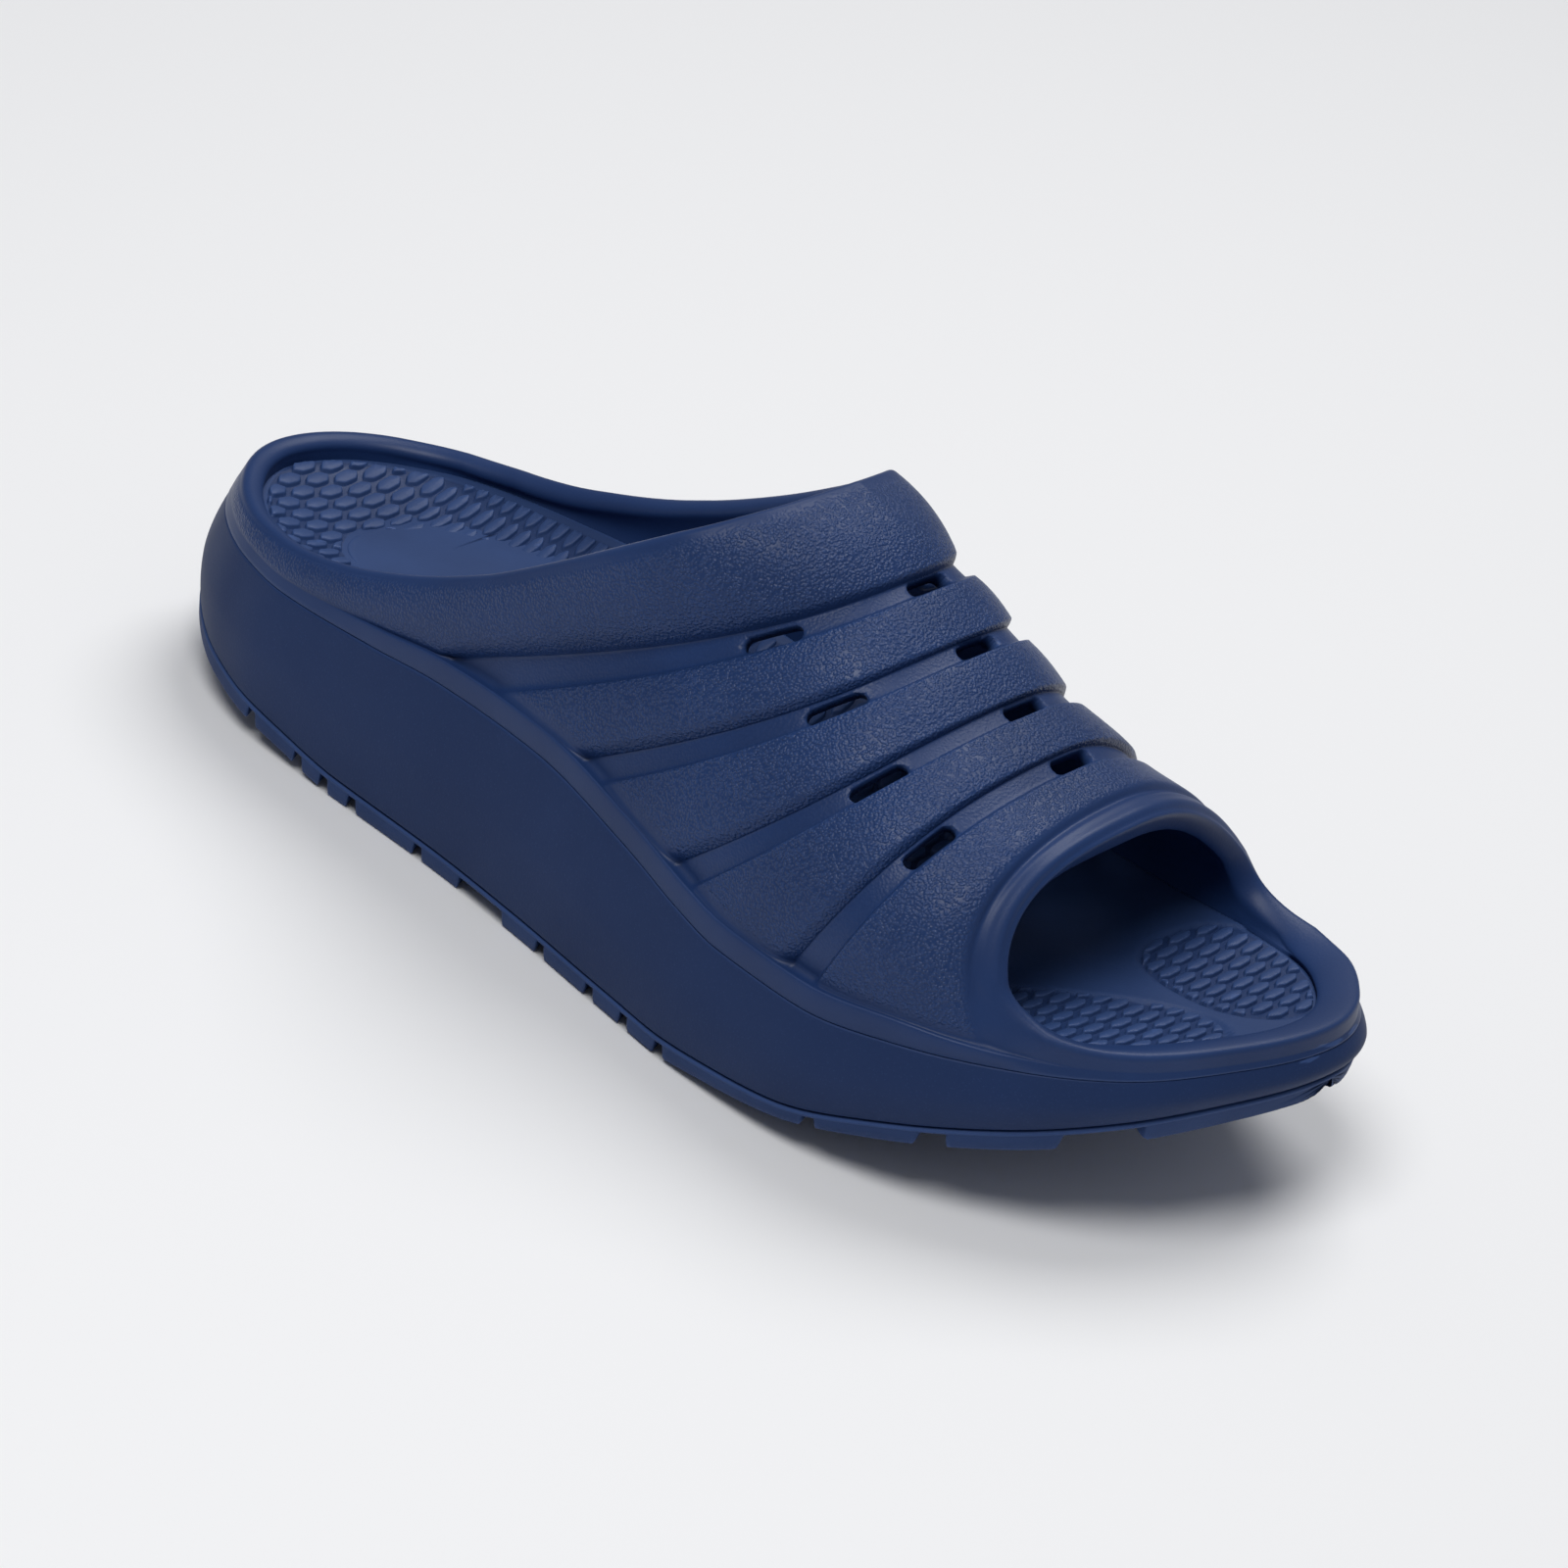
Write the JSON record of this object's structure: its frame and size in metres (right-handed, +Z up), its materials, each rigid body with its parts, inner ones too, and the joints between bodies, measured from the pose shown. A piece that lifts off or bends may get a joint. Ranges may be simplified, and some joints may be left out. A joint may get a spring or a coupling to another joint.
{
  "type": "slide sandal",
  "caption": "Moulded foam slide sandal with a thick rocker sole, lugged outsole, cupped footbed and a banded, vented instep that is open at the toe.",
  "frame": {"origin": "on the floor, under the middle of the shoe's box", "axes": "+X towards the toe, +Y towards the inner side of the foot, +Z up"},
  "size_m": [0.29, 0.1154, 0.1086],
  "materials": {
    "upper": "navy foam, satin, with a leather-like grain on the bands",
    "midsole": "navy foam, soft matte",
    "outsole": "navy foam, matte",
    "footbed": "navy foam, satin, with a raised honeycomb pattern"
  },
  "bodies": {
    "root": {"upper": "upper", "midsole": "midsole", "outsole": "outsole", "footbed": "footbed"}
  },
  "joints": []
}
